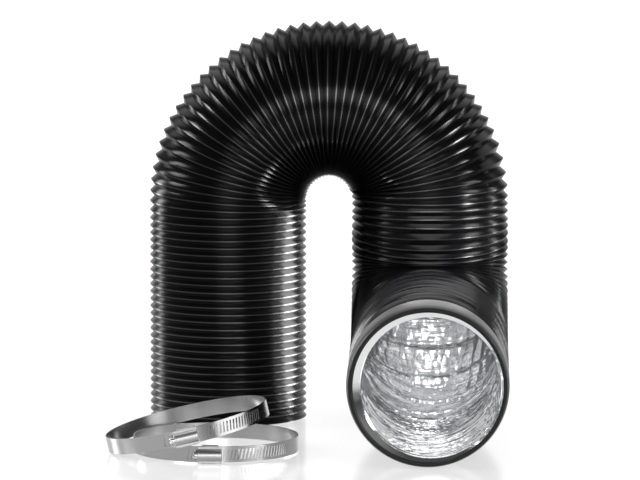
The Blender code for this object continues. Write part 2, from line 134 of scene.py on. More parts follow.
def ring_turn(along):
    """Angle through which the rings have turned over the arch; it starts and ends gradually."""
    past = np.clip(along - LEG_HEIGHT + ARCH_EASE, 0.0, None)
    started = np.where(past < 2 * ARCH_EASE, past ** 2 / (4 * ARCH_EASE), past - ARCH_EASE)
    left = np.clip(ARCH_END - along, 0.0, None)
    span = 2 * ARCH_EASE
    ending = np.where(left < span, left ** 2 * (2 * span - left) / span ** 2, left)
    turned = np.where(along < (LEG_HEIGHT + ARCH_END) / 2, started, math.pi * ARCH_RADIUS - ending)
    return turned / ARCH_RADIUS


def route(along):
    """Centre and two cross axes of the duct's section at distances from its standing end."""
    turn = np.clip((along - LEG_HEIGHT) / ARCH_RADIUS, 0.0, math.pi)
    lean = ring_turn(along)
    drop = np.maximum(along - ARCH_END, 0.0)
    bent = np.maximum(drop - DROP_STRAIGHT, 0.0)
    turned = np.minimum(bent, BEND_SPAN)
    forward = np.interp(turned, MARCH, MARCH_FORWARD) + bent - turned
    down = np.minimum(drop, DROP_STRAIGHT) + np.interp(turned, MARCH, MARCH_DOWN)
    height = np.minimum(along, LEG_HEIGHT) + ARCH_RADIUS * np.sin(turn) - down
    tilt = bend_tilt(bent)
    flat = np.zeros_like(along)
    centre = np.stack([ARCH_X - ARCH_RADIUS * np.cos(turn), DUCT_Y - forward, height], axis=-1)
    inward = np.stack([np.cos(lean), flat, -np.sin(lean)], axis=-1)
    backward = np.stack([flat, np.cos(tilt), -np.sin(tilt)], axis=-1)
    return centre, inward, backward


def tube_rows(along, angles, radius, shift=None):
    """Rings of points round the route; radius and shift along the axis may vary along and around it."""
    centre, inward, backward = route(along)
    spokes = np.cos(angles)[:, None] * inward[:, None] + np.sin(angles)[:, None] * backward[:, None]
    rows = centre[:, None] + np.broadcast_to(radius, spokes.shape[:2])[..., None] * spokes
    if shift is not None:
        rows += shift[..., None] * np.cross(inward, backward)[:, None]
    return rows


def round_angles(sides):
    """Even angles round a circle."""
    return np.arange(sides) * math.tau / sides


# Meshes and materials

def link_mesh(name, mesh, material, sharp=SHARP_ANGLE):
    """Object with its material in the scene, shaded smooth between its sharp edges."""
    mesh.shade_smooth()
    mesh.set_sharp_from_angle(angle=sharp)
    mesh.materials.append(material)
    item = bpy.data.objects.new(name, mesh)
    bpy.context.scene.collection.objects.link(item)
    return item


def add_skin(name, rows, material, sharp=SHARP_ANGLE, **values):
    """Closed solid of quads between rings of points, the last joined to the first; values are attributes."""
    count, sides = rows.shape[:2]
    near = np.arange(count * sides).reshape(count, sides)
    far = np.roll(near, -1, axis=0)
    quads = np.stack([near, np.roll(near, -1, axis=1), np.roll(far, -1, axis=1), far], axis=-1).reshape(-1, 4)
    points = rows.reshape(-1, 3)
    corners = points[quads] - points.mean(axis=0)
    volume = np.einsum("ij,ij->", corners[:, 0], np.cross(corners[:, 1], corners[:, 2]))
    if volume < 0:
        quads = quads[:, ::-1]
    mesh = bpy.data.meshes.new(name)
    mesh.from_pydata(points.tolist(), [], quads.tolist())
    for label, numbers in values.items():
        kind, field = ("FLOAT_VECTOR", "vector") if numbers.ndim == 3 else ("FLOAT", "value")
        mesh.attributes.new(label, kind, "POINT").data.foreach_set(field, numbers.ravel().astype(np.float32))
    return link_mesh(name, mesh, material, sharp)


def add_faces(name, builder, material, place=None):
    """Object from a bmesh, set in place by a matrix, with its faces pointing out."""
    bmesh.ops.recalc_face_normals(builder, faces=builder.faces)
    if place is not None:
        builder.transform(place)
    mesh = bpy.data.meshes.new(name)
    builder.to_mesh(mesh)
    builder.free()
    return link_mesh(name, mesh, material)


def add_rod(name, rows, material, place=None):
    """Solid through rows of points, each a closed ring, with a flat cap on each end."""
    builder = bmesh.new()
    rings = [[builder.verts.new(point) for point in ring] for ring in rows]
    for near, far in zip(rings, rings[1:]):
        for index, corner in enumerate(near):
            after = (index + 1) % len(near)
            builder.faces.new((corner, near[after], far[after], far[index]))
    builder.faces.new(rings[0])
    builder.faces.new(rings[-1])
    return add_faces(name, builder, material, place)


def settle(piece, body, slot, *nodes):
    """Let a piece ride on its body in place of its CAD nodes."""
    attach(piece, body)
    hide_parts(*nodes)


def settle_run(piece, node):
    """Put a piece of the run in place of its CAD node, its place baked into its points, with no body to ride
    on.
    """
    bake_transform(piece)
    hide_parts(node)


def round_edges(piece, width, segments=2):
    """Small rounded edges, as pressed or turned metal has."""
    bevel = piece.modifiers.new("rounded_edges", "BEVEL")
    bevel.width = width
    bevel.segments = segments
    bevel.limit_method = "ANGLE"
    bevel.angle_limit = SHARP_ANGLE
    bevel.harden_normals = True


def set_inputs(tree, node, inputs):
    """Set a node's inputs to values, or link them where a socket is given."""
    for name, value in inputs.items():
        if isinstance(value, bpy.types.NodeSocket):
            tree.links.new(value, node.inputs[name])
        else:
            node.inputs[name].default_value = value


def add_node(tree, kind, inputs=None, **settings):
    """Add a node: settings are its properties, inputs are socket values or sockets to link."""
    node = tree.nodes.new(kind)
    for name, value in settings.items():
        setattr(node, name, value)
    set_inputs(tree, node, inputs or {})
    return node


def new_material(name):
    """Plain node material; returns the material, its tree and its shader."""
    material = bpy.data.materials.new(name)
    material.use_nodes = True
    tree = material.node_tree
    return material, tree, tree.nodes["Principled BSDF"]


def per_metre(size):
    """Noise scale whose features are about one size across."""
    return 1.0 / size


# Materials of the pieces

GRAIN_DETAIL = 2.0
GRAIN_DEPTH = 0.1 * MM
LINE_DETAIL = 3.0
LINES_ROUND_BORE = (1.0, 0.06, 0.06)
LINES_ALONG_STRIP = (0.04, 1.0, 1.0)


def uneven_gloss(tree, place, patch, detail, low, high):
    """Noise in patches of one size, and a roughness that follows it from low to high."""
    noise = add_node(tree, "ShaderNodeTexNoise", {
        "Vector": place, "Scale": per_metre(patch), "Detail": detail})
    rough = add_node(tree, "ShaderNodeMapRange", {
        "Value": noise.outputs["Fac"], "To Min": low, "To Max": high})
    return noise.outputs["Fac"], rough.outputs[0]


def fine_grain(tree, place, size, strength):
    """Shading normal of a shallow grain whose bumps are about one size across."""
    grain = add_node(tree, "ShaderNodeTexNoise", {
        "Vector": place, "Scale": per_metre(size), "Detail": GRAIN_DETAIL})
    bump = add_node(tree, "ShaderNodeBump", {
        "Height": grain.outputs["Fac"], "Strength": strength, "Distance": GRAIN_DEPTH})
    return bump.outputs[0]


def black_pvc_film(colours):
    """Calendered PVC film, heat-set into pleats: satin black. Its crests are painted paler and more
    reflective, partly the fold's real whitening and partly painted highlight.
    """
    material, tree, shader = new_material("black_pvc_film")
    place = add_node(tree, "ShaderNodeTexCoord").outputs["Object"]
    fold = add_node(tree, "ShaderNodeAttribute", attribute_name="fold").outputs["Fac"]
    wear = add_node(tree, "ShaderNodeAttribute", attribute_name="wear").outputs["Fac"]
    crease = add_node(tree, "ShaderNodeMapRange", {"Value": fold, "From Min": 0.76, "From Max": 0.96})
    worn_and_highlighted = add_node(tree, "ShaderNodeMath", {0: crease.outputs[0], 1: wear}, operation="MULTIPLY").outputs[0]
    # painted highlight: the crests are mixed toward the paler crease colour and given a higher IOR, partly
    # the fold's real whitening and partly the light that the crests catch
    tint = add_node(tree, "ShaderNodeMix", {
        "Factor": worn_and_highlighted, "A": colours.film, "B": colours.film_crease_highlight}, data_type="RGBA")
    shine = add_node(tree, "ShaderNodeMapRange", {"Value": worn_and_highlighted, "To Min": 1.15, "To Max": 1.62})
    _, rough = uneven_gloss(tree, place, patch=9 * MM, detail=4.0, low=0.2, high=0.28)
    set_inputs(tree, shader, {
        "Base Color": tint.outputs["Result"],
        "Roughness": rough,
        "IOR": shine.outputs[0],
        # the film's grain is about 0.3 mm and is drawn at 0.9 mm, so that it shows
        "Normal": fine_grain(tree, place, size=0.9 * MM, strength=0.08),
    })
    return material


def crinkled_foil(colours):
    """Aluminium foil laminated on film: bright, with rolled lines round the bore, crumpled by bending."""
    material, tree, shader = new_material("crinkled_foil")
    lay = add_node(tree, "ShaderNodeAttribute", attribute_name="lay").outputs["Vector"]
    scaled = add_node(tree, "ShaderNodeVectorMath", {0: lay, 1: LINES_ROUND_BORE}, operation="MULTIPLY")
    drawn = scaled.outputs[0]
    # rolled lines are a fraction of a millimetre apart and are drawn at 2.4 mm, so that they show
    lines = add_node(tree, "ShaderNodeTexNoise", {
        "Vector": drawn, "Scale": per_metre(2.4 * MM), "Detail": LINE_DETAIL}).outputs["Fac"]
    crumple = add_node(tree, "ShaderNodeTexVoronoi", {
        "Vector": lay, "Scale": per_metre(5 * MM)}, feature="F1")
    fine, rough = uneven_gloss(tree, drawn, patch=3 * MM, detail=5.0, low=0.08, high=0.2)
    height = add_node(tree, "ShaderNodeMath", {0: lines, 1: crumple.outputs["Distance"]}, operation="ADD")
    both = add_node(tree, "ShaderNodeMath", {0: height.outputs[0], 1: fine}, operation="ADD")
    bump = add_node(tree, "ShaderNodeBump", {
        "Height": both.outputs[0], "Strength": 0.9, "Distance": 0.7 * MM})
    shade = add_node(tree, "ShaderNodeMix", {
        "Factor": lines, "A": colours.foil_dull, "B": colours.foil}, data_type="RGBA")
    set_inputs(tree, shader, {
        "Base Color": shade.outputs["Result"],
        "Metallic": 1.0,
        "Roughness": rough,
        "Normal": bump.outputs[0],
    })
    return material


def moulded_pvc(colours):
    """Injection-moulded soft PVC: satin black with a fine, uneven skin and a pale bloom at a slant."""
    material, tree, shader = new_material("moulded_pvc")
    place = add_node(tree, "ShaderNodeTexCoord").outputs["Object"]
    _, rough = uneven_gloss(tree, place, patch=14 * MM, detail=4.0, low=0.38, high=0.48)
    set_inputs(tree, shader, {
        "Base Color": colours.cuff,
        "Roughness": rough,
        "IOR": 1.3,
        # the mould's grain is about 0.2 mm and is drawn at 0.8 mm, so that it shows
        "Normal": fine_grain(tree, place, size=0.8 * MM, strength=0.06),
        "Sheen Weight": 0.25,
        "Sheen Roughness": 0.35,
    })
    return material


def rolled_stainless(colours):
    """Cold-rolled stainless strip: bright, with fine lines along the strip that blur its reflections."""
    material, tree, shader = new_material("rolled_stainless")
    lay = add_node(tree, "ShaderNodeAttribute", attribute_name="lay").outputs["Vector"]
    scaled = add_node(tree, "ShaderNodeVectorMath", {0: lay, 1: LINES_ALONG_STRIP}, operation="MULTIPLY")
    drawn = scaled.outputs[0]
    # rolling lines are about 0.05 mm apart and are drawn at 0.5 mm, so that they show
    lines, rough = uneven_gloss(tree, drawn, patch=0.5 * MM, detail=LINE_DETAIL, low=0.18, high=0.27)
    bump = add_node(tree, "ShaderNodeBump", {"Height": lines, "Strength": 0.12, "Distance": 0.05 * MM})
    set_inputs(tree, shader, {
        "Base Color": colours.stainless, "Metallic": 1.0, "Roughness": rough, "Normal": bump.outputs[0]})
    return material


def plain_metal(name, colour, patch, detail, low, high):
    """Bare metal whose roughness goes from low to high in patches of one size."""
    material, tree, shader = new_material(name)
    place = add_node(tree, "ShaderNodeTexCoord").outputs["Object"]
    _, rough = uneven_gloss(tree, place, patch, detail, low, high)
    set_inputs(tree, shader, {"Base Color": colour, "Metallic": 1.0, "Roughness": rough})
    return material


def bright_steel(colours):
    """Polished bright-plated steel: mirror-like, with faint haze from handling."""
    return plain_metal("bright_steel", colours.hoop, patch=6 * MM, detail=5.0, low=0.04, high=0.14)


def pressed_stainless(colours):
    """Pressed stainless sheet, tumbled after pressing: bright and a little uneven."""
    return plain_metal(
        "pressed_stainless", colours.stainless, patch=2.5 * MM, detail=3.0, low=0.34, high=0.44)


def plated_steel(name, colour):
    """Zinc-plated turned or drawn steel: pale grey metal with a soft, slightly mottled sheen."""
    return plain_metal(name, colour, patch=1.5 * MM, detail=4.0, low=0.2, high=0.36)


# Settings that a user would change

class DuctSizes(bpy.types.PropertyGroup):
    """Sizes of the sleeve, liner and mouth."""
    pleat_depth: bpy.props.FloatProperty(
        name="Pleat depth", description="Height of a crest over its valleys", default=2.9 * MM, unit="LENGTH")
    leg_folds: bpy.props.IntProperty(
        name="Leg folds", default=59,
        description="Half pleats on the standing leg; an odd number ends in a valley")
    arch_folds: bpy.props.IntProperty(
        name="Arch folds", description="Half pleats on the arch, an even number", default=86)
    elbow_folds: bpy.props.IntProperty(
        name="Elbow folds", default=52,
        description="Half pleats on the dropping leg and its bend, an even number")
    run_folds: bpy.props.IntProperty(
        name="Run folds", description="Half pleats on the run along the floor, an even number", default=46)
    unevenness: bpy.props.FloatProperty(
        name="Unevenness", description="How far a fold strays from its even place",
        default=0.22 * MM, unit="LENGTH")
    ridge_spacing: bpy.props.FloatProperty(
        name="Foil ridge spacing", description="Distance between the foil's ridges",
        default=14 * MM, unit="LENGTH")
    ridge_height: bpy.props.FloatProperty(
        name="Foil ridge height", description="Height of a ridge in the foil",
        default=1.3 * MM, unit="LENGTH")
    crumple: bpy.props.FloatProperty(
        name="Foil crumple", description="Depth of the foil's crumpling", default=1.1 * MM, unit="LENGTH")


class ClampSizes(bpy.types.PropertyGroup):
    """Sizes of the worm-drive clamps."""
    band_radius: bpy.props.FloatProperty(
        name="Band radius", description="Inner radius of the band's inner layer",
        default=56.6 * MM, unit="LENGTH")
    band_width: bpy.props.FloatProperty(
        name="Band width", description="Width of the strip", default=11 * MM, unit="LENGTH")
    band_thickness: bpy.props.FloatProperty(
        name="Band thickness", description="Thickness of the strip", default=0.7 * MM, unit="LENGTH")
    slot_count: bpy.props.IntProperty(
        name="Slots", description="Slots stamped in the band's lapped end", default=30)
    slot_pitch: bpy.props.FloatProperty(
        name="Slot pitch", description="Angle from slot to slot", default=math.radians(2.64), unit="ROTATION")
    slot_height: bpy.props.FloatProperty(
        name="Slot height", description="Height of a slot across the band", default=7.2 * MM, unit="LENGTH")


class DuctColours(bpy.types.PropertyGroup):
    """Colours of the pieces."""
    film: bpy.props.FloatVectorProperty(
        name="Film", description="Black PVC film", subtype="COLOR", size=4, default=linear("#070708"))
    # the crease colour is partly the fold's real whitening and partly painted highlight on the crests
    film_crease_highlight: bpy.props.FloatVectorProperty(
        name="Film crease", description="Film paled by its fold",
        subtype="COLOR", size=4, default=linear("#242425"))
    foil: bpy.props.FloatVectorProperty(
        name="Foil", description="Bright aluminium foil", subtype="COLOR", size=4, default=linear("#eeeff0"))
    foil_dull: bpy.props.FloatVectorProperty(
        name="Foil, dull", description="Foil in its rolled lines",
        subtype="COLOR", size=4, default=linear("#8f9092"))
    cuff: bpy.props.FloatVectorProperty(
        name="Cuff", description="Moulded black PVC", subtype="COLOR", size=4, default=linear("#0d0d0d"))
    hoop: bpy.props.FloatVectorProperty(
        name="Hoop", description="Bright plated steel", subtype="COLOR", size=4, default=linear("#eceded"))
    stainless: bpy.props.FloatVectorProperty(
        name="Stainless", description="Stainless strip", subtype="COLOR", size=4, default=linear("#a9a9a9"))
    screw: bpy.props.FloatVectorProperty(
        name="Screw", description="Zinc-plated screw", subtype="COLOR", size=4, default=linear("#d2d3d5"))
    wire: bpy.props.FloatVectorProperty(
        name="Wire", description="Drawn spring wire", subtype="COLOR", size=4, default=linear("#b5b5b6"))


class StudioSettings(bpy.types.PropertyGroup):
    """Camera and light of the stage."""
    distance: bpy.props.FloatProperty(
        name="Camera distance", description="From the camera to its target", default=5.0, unit="LENGTH")
    elevation: bpy.props.FloatProperty(
        name="Camera elevation", description="Height angle of the camera",
        default=math.radians(7.4), unit="ROTATION")
    azimuth: bpy.props.FloatProperty(
        name="Camera azimuth", description="Turn of the camera to the right",
        default=math.radians(1.2), unit="ROTATION")
    pixels_per_metre: bpy.props.FloatProperty(
        name="Picture scale", default=1385.0,
        description="Pixels for one metre at the target, in a picture 640 pixels wide")
    strip_radiance: bpy.props.FloatProperty(
        name="Strip light", description="Radiance of the strip lights around the object", default=18.0)
    front_radiance: bpy.props.FloatProperty(
        name="Front light", description="Radiance of the soft light over the camera", default=6.2)
    back_radiance: bpy.props.FloatProperty(
        name="Back light", description="Radiance of the soft light above and behind", default=1.5)
    backdrop_radiance: bpy.props.FloatProperty(
        name="Backdrop", description="Radiance of the white card far behind", default=0.7)
    floor_glow: bpy.props.FloatProperty(
        name="Floor white", description="White added to the floor where the camera sees it", default=0.61)


# Pleated sleeve

FOLD_SHARP = math.radians(150)
# how far the folds are drawn open, one on a straight stretch, where each look sets in and where it is full
CRISP_FROM, CRISP_FULL = 1.1, 1.7
EDGE_FROM, EDGE_FULL = 1.55, 1.75
TIGHT_FROM, TIGHT_FULL = 0.85, 0.55
# where the painted crest highlight, with the fold's whitening, fades in and out: dim where the folds bunch
# into shade, gone at the outer rim
WEAR_AND_HIGHLIGHT_LOW, WEAR_AND_HIGHLIGHT_FROM = 0.3, 0.95
WEAR_AND_HIGHLIGHT_FULL, WEAR_AND_HIGHLIGHT_END = 1.45, 1.62
SKIN_GAP = 0.04 * MM
SLEEVE_SIDES = 128
SLEEVE_BORE = 52.2 * MM
BORE_STEP = 3
NECK_LENGTH = 4 * MM
OPENING_GAIN = 0.42
BUNCH_BELOW = 0.6
BUNCH_DROP = 1.3 * MM
WOBBLE_SEED = 5
WOBBLE_SPREAD = 0.5
# how pale a piece's creases are painted (partly fold whitening, partly painted highlight), how sharp its
# valleys and how uneven its folds
ARCH_FOLDING = (1.0, 0.15, 0.6)
ELBOW_FOLDING = (0.8, 0.6, 2.0)
RUN_FOLDING = (0.5, 0.8, 4.0)


def ramp(value, start, full, least=0.0):
    """Zero at the start, one at the full value and past it, and nowhere below the least."""
    return np.clip((value - start) / (full - start), least, 1.0)


def fold_places(first, count, start, end):
    """Fold numbers, and distances along the route, of the rings on a stretch of half pleats."""
    folds = np.arange(count + 1)
    return folds + first, start + (end - start) * folds / count


def sleeve_rows(folds, along, sizes, folded, uneven):
    """Outer rings of a pleated stretch, with each point's fold, crest paling (partly wear, partly painted
    highlight), crispness and smooth normal.
    """
    angles = round_angles(SLEEVE_SIDES)
    plain = tube_rows(along, angles, CREST_RADIUS)
    stretch = np.linalg.norm(np.gradient(plain, along, axis=0), axis=2)
    from_crest = (folds % 2)[:, None]
    depth = sizes.pleat_depth * (1 + OPENING_GAIN * (stretch - 1))
    random = np.random.default_rng(WOBBLE_SEED + int(folds[0]))
    stray = uneven * sizes.unevenness * random.normal(0.0, WOBBLE_SPREAD, (4, len(folds), 1))
    stray[:, 0] = stray[:, -1] = 0.0
    lean, sway, bulge, swell = stray
    shift = stretch * (lean * np.cos(angles) + sway * np.sin(angles))
    dents = np.abs(bulge * np.cos(2 * angles) + swell * np.sin(3 * angles)) / 2
    # where the folds bunch together inside a bend, every second one sinks between its neighbours
    sunk = (folds % 4 == 2)[:, None] * ramp(stretch, BUNCH_BELOW, 0.0)
    radius = CREST_RADIUS - depth * from_crest - dents - BUNCH_DROP * sunk
    # a crease is equally wide everywhere, so its value falls faster where the folds open
    fold = 1 - from_crest * stretch
    # painted highlight on the crests, together with their real whitening: dimmed where the folds bunch into
    # shade and where they open wide at the outer rim
    wear = ramp(stretch, WEAR_AND_HIGHLIGHT_LOW, WEAR_AND_HIGHLIGHT_FROM) * ramp(stretch, WEAR_AND_HIGHLIGHT_END, WEAR_AND_HIGHLIGHT_FULL)
    valley = ramp(stretch, CRISP_FROM, CRISP_FULL, folded)
    edge = ramp(stretch, EDGE_FROM, EDGE_FULL, max(0.0, 2 * folded - 1))
    # folds pressed together inside a bend keep their own sharp faces, which trap the light
    tight = ramp(stretch, TIGHT_FROM, TIGHT_FULL)
    crisp = np.maximum(np.where(from_crest, valley, edge), (1 - folded) * tight)
    smooth = plain - route(along)[0][:, None]
    return tube_rows(along, angles, radius, shift), fold, wear, crisp, smooth / CREST_RADIUS


def shade_folds(item, smooth, crisp):
    """Shade each face corner between the smooth tube's normal and its own face's, as crisp as its fold."""
    mesh = item.data
    points = np.empty(len(mesh.loops), dtype=np.int32)
    mesh.loops.foreach_get("vertex_index", points)
    faces = np.empty(3 * len(mesh.polygons), dtype=np.float32)
    mesh.polygons.foreach_get("normal", faces)
    flat = np.repeat(faces.reshape(-1, 3), 4, axis=0)
    share = crisp.ravel()[points][:, None]
    normals = share * flat + (1 - share) * smooth.reshape(-1, 3)[points]
    mesh.normals_split_custom_set((normals / np.linalg.norm(normals, axis=1, keepdims=True)).tolist())


def add_sleeve(name, stretches, material, sizes, marked, folded, uneven, neck=0.0):
    """Closed piece of sleeve: its creases are painted as pale as marked (fold whitening with painted
    highlight), its valleys as sharp as folded.
    """
    places = [fold_places(*stretch) for stretch in stretches]
    folds = np.concatenate([places[0][0]] + [fold[1:] for fold, _ in places[1:]])
    along = np.concatenate([places[0][1]] + [place[1:] for _, place in places[1:]])
    outer, fold, wear, crisp, smooth = sleeve_rows(folds, along, sizes, folded, uneven)
    angles = round_angles(SLEEVE_SIDES)
    inner = tube_rows(np.append(along[:-1:BORE_STEP], along[-1] + neck), angles, SLEEVE_BORE)[::-1]
    if neck:
        neck_end = tube_rows(along[-1:] + neck, angles, CREST_RADIUS - sizes.pleat_depth)
        inner = np.concatenate([neck_end, inner])
    plain = np.zeros(inner.shape[:2])
    fold = np.concatenate([fold, plain])
    wear = np.concatenate([marked * wear, plain])
    item = add_skin(name, np.concatenate([outer, inner]), material, FOLD_SHARP, fold=fold, wear=wear)
    shade_folds(item, np.concatenate([smooth, inner]), np.concatenate([crisp, plain + 1]))
    return item


class DUCT_OT_sleeve(bpy.types.Operator):
    """Pleat the black sleeve over the standing leg and arch, the elbow and the run along the floor"""
    bl_idname = "duct.sleeve"
    bl_label = "Pleated Sleeve"

    def execute(self, context):
        sizes = context.scene.duct_sizes
        film = black_pvc_film(context.scene.duct_colours)
        arch_first = sizes.leg_folds
        elbow_first = arch_first + sizes.arch_folds
        run_first = elbow_first + sizes.elbow_folds
        run_end = ROUTE_END - CUFF_LENGTH - SEAM_GAP
        gap = SKIN_GAP / 2
        arch = add_sleeve("pleated_sleeve_arch", (
            (0, sizes.leg_folds, 0.0, LEG_HEIGHT),
            (arch_first, sizes.arch_folds, LEG_HEIGHT, ARCH_END - gap),
        ), film, sizes, *ARCH_FOLDING)
        elbow_stretch = (elbow_first, sizes.elbow_folds, ARCH_END + gap, ELBOW_END - gap)
        elbow = add_sleeve("pleated_sleeve_elbow", (elbow_stretch,), film, sizes, *ELBOW_FOLDING)
        run_stretch = (run_first, sizes.run_folds, ELBOW_END + gap, run_end)
        run = add_sleeve("pleated_sleeve_run", (run_stretch,), film, sizes, *RUN_FOLDING, NECK_LENGTH)
        settle(arch, "duct", "black_pvc_film", "sleeve_standing_leg", "sleeve_arch_rise", "sleeve_arch_fall")
        settle(elbow, "front_leg", "black_pvc_film", "sleeve_elbow")
        settle_run(run, "sleeve_front")
        return {"FINISHED"}


# Foil liner

LINER_OUTER = 51.8 * MM
LINER_BORE = 51.0 * MM
LINER_BASE_LIFT = 0.8 * MM
LINER_END_BACK = 14 * MM
RIDGE_WIDTH = 1.0 * MM
RIDGE_SWAY = 0.9 * MM
RIDGE_SCATTER = (0.8, 1.2)
CRUMPLE_WAVES = 14
CRUMPLE_LENGTHS = (9 * MM, 34 * MM)
CRUMPLE_LOBES = (2, 22)
CRUMPLE_WANDER = 2.5 * MM
WANDER_LOBES = (2, 6)
CRUMPLE_FLOOR = 0.75
FOIL_SEED = 11
# rings along a piece of liner and points round it; the arch's piece is hidden, so it is coarser
ARCH_RINGS, ARCH_SIDES = 160, 96
LINER_RINGS, LINER_SIDES = 150, 192
LINER_BACK_STEP = 6


def crumpled(along, angles, random):
    """Depth of crumpled foil from zero to one: sharp-creased waves that cross each other."""
    total = np.zeros((len(along), len(angles)))
    lengths = 0.0
    for _ in range(CRUMPLE_WAVES):
        lobes = random.integers(*CRUMPLE_LOBES)
        length = random.uniform(*CRUMPLE_LENGTHS)
        phase, drift = random.uniform(0, math.tau, 2)
        wander = CRUMPLE_WANDER * np.sin(random.integers(*WANDER_LOBES) * angles + drift)
        wave = np.abs(np.sin(math.pi * (along[:, None] + wander) / length + lobes * angles + phase))
        total += length * wave
        lengths += length
    return np.clip(2 * total / lengths - CRUMPLE_FLOOR, 0.0, 1.0)


def ridged(along, angles, spacing, random):
    """Height from zero to one of the narrow ridges where the foil folds over the wire's turns."""
    total = np.zeros((len(along), len(angles)))
    centre = along[0] + spacing / 2
    while centre < along[-1]:
        phase, other = random.uniform(0, math.tau, 2)
        sway = RIDGE_SWAY * (np.sin(angles + phase) + 0.5 * np.sin(3 * angles + other))
        total += np.exp(-((along[:, None] - centre - sway) / RIDGE_WIDTH) ** 2)
        centre += spacing * random.uniform(*RIDGE_SCATTER)
    return np.minimum(total, 1.0)


def add_liner(name, along, sides, material, sizes, spacing, crumple, seed):
    """One closed piece of liner: ridges and crumples inside, a plain back."""
    random = np.random.default_rng(FOIL_SEED + seed)
    angles = round_angles(sides)
    depth = crumple * crumpled(along, angles, random)
    depth += sizes.ridge_height * ridged(along, angles, spacing, random)
    inner = tube_rows(along, angles, LINER_BORE - depth)[::-1]
    outer_along = np.append(along[:-1:LINER_BACK_STEP], along[-1])
    outer = tube_rows(outer_along, angles, LINER_OUTER)
    places = np.concatenate([outer_along, along[::-1]])
    circle = LINER_BORE * np.stack([np.cos(angles), np.sin(angles)], axis=-1)
    lay = np.concatenate([
        np.broadcast_to(places[:, None, None], (len(places), sides, 1)),
        np.broadcast_to(circle, (len(places), sides, 2)),
    ], axis=-1)
    return add_skin(name, np.concatenate([outer, inner]), material, lay=lay)


class DUCT_OT_liner(bpy.types.Operator):
    """Crumple the foil liner through the whole bore"""
    bl_idname = "duct.liner"
    bl_label = "Foil Liner"

    def execute(self, context):
        sizes = context.scene.duct_sizes
        foil = crinkled_foil(context.scene.duct_colours)
        half_seam = SEAM_GAP / 2
        ridges = sizes.ridge_spacing
        crumple = sizes.crumple
        main_along = np.linspace(LINER_BASE_LIFT, ARCH_END - half_seam, ARCH_RINGS)
        elbow_along = np.linspace(ARCH_END + half_seam, ELBOW_END - half_seam, LINER_RINGS)
        run_along = np.linspace(ELBOW_END + half_seam, ROUTE_END - LINER_END_BACK, LINER_RINGS)
        main = add_liner("foil_liner_arch", main_along, ARCH_SIDES, foil, sizes, ridges, crumple, seed=0)
        elbow = add_liner("foil_liner_elbow", elbow_along, LINER_SIDES, foil, sizes, ridges, crumple, seed=1)
        # the run's foil is stretched flatter than the rest, with its ridges twice as close
        run = add_liner(
            "foil_liner_run", run_along, LINER_SIDES, foil, sizes, ridges / 2, crumple / 3, seed=2)
        settle(main, "duct", "aluminium_foil", "liner_main")
        settle(elbow, "front_leg", "aluminium_foil", "liner_elbow")
        settle_run(run, "liner_front")
        return {"FINISHED"}


# Cuff, hoop and wire at the mouth: profiles are (distance back from the rim, radius)

TURNED_SIDES = 144
CUFF_SOCKET = 55.3 * MM
CUFF_SEAT = 52.7 * MM
CUFF_STEP = 14 * MM
LIP_DEPTH = 9 * MM
LIP_RISE = 2.2 * MM
LIP_STEPS = 14
CUFF_ROUND = 0.7 * MM
ROUND_STEPS = 4


def arc_points(centre, radius, start, end, steps):
    """Points of an arc in a profile, by angles in degrees from straight back, turning outward."""
    turns = np.radians(np.linspace(start, end, steps + 1))
    return [(centre[0] + radius * math.cos(t), centre[1] + radius * math.sin(t)) for t in turns]


def turned_rows(profile, offset=None):
    """Rings of a profile turned about the mouth's axis; an offset moves the innermost rings sideways."""
    angles = round_angles(TURNED_SIDES)
    backs = np.array([back for back, _ in profile])
    radii = np.array([radius for _, radius in profile])[:, None]
    rows = tube_rows(ROUTE_END - backs, angles, radii)
    if offset is not None:
        share = (radii.max() - radii) / (radii.max() - radii.min())
        rows += share[..., None] * np.array(offset)
    return rows


class DUCT_OT_cuff(bpy.types.Operator):
    """Turn the moulded cuff with its rounded lip"""
    bl_idname = "duct.cuff"
    bl_label = "Moulded Cuff"

    def execute(self, context):
        turns = np.radians(np.linspace(0, 90, LIP_STEPS + 1))
        rim = CREST_RADIUS - LIP_RISE
        outer = [(LIP_DEPTH * (1 - math.cos(t)), rim + LIP_RISE * math.sin(t)) for t in turns]
        tail_centre = (CUFF_LENGTH - CUFF_ROUND, CREST_RADIUS - CUFF_ROUND)
        tail = arc_points(tail_centre, CUFF_ROUND, 90, 0, ROUND_STEPS)
        inner = arc_points((CUFF_ROUND, CUFF_SEAT + CUFF_ROUND), CUFF_ROUND, 270, 180, ROUND_STEPS)
        steps = [(CUFF_LENGTH, CUFF_SOCKET), (CUFF_STEP, CUFF_SOCKET), (CUFF_STEP, CUFF_SEAT)]
        rows = turned_rows(outer + tail + steps + inner)
        cuff = add_skin("moulded_cuff", rows, moulded_pvc(context.scene.duct_colours))
        settle(cuff, "front_end", "black_moulded_pvc", "front_cuff")
        return {"FINISHED"}


HOOP_FRONT = 1.0 * MM
HOOP_FRONT_RADIUS = 52.5 * MM
HOOP_EDGE = 0.4 * MM
HOOP_INNER = 2.8 * MM
HOOP_INNER_RADIUS = 49.3 * MM
HOOP_GROOVE = 6 * MM
HOOP_NECK = 9.5 * MM
HOOP_NECK_RADIUS = 49.3 * MM
HOOP_BACK = 13.2 * MM
HOOP_BEAD = 0.8 * MM
BEAD_STEPS = 14
HOOP_OFFSET = (2.0 * MM, 0.0, -0.8 * MM)


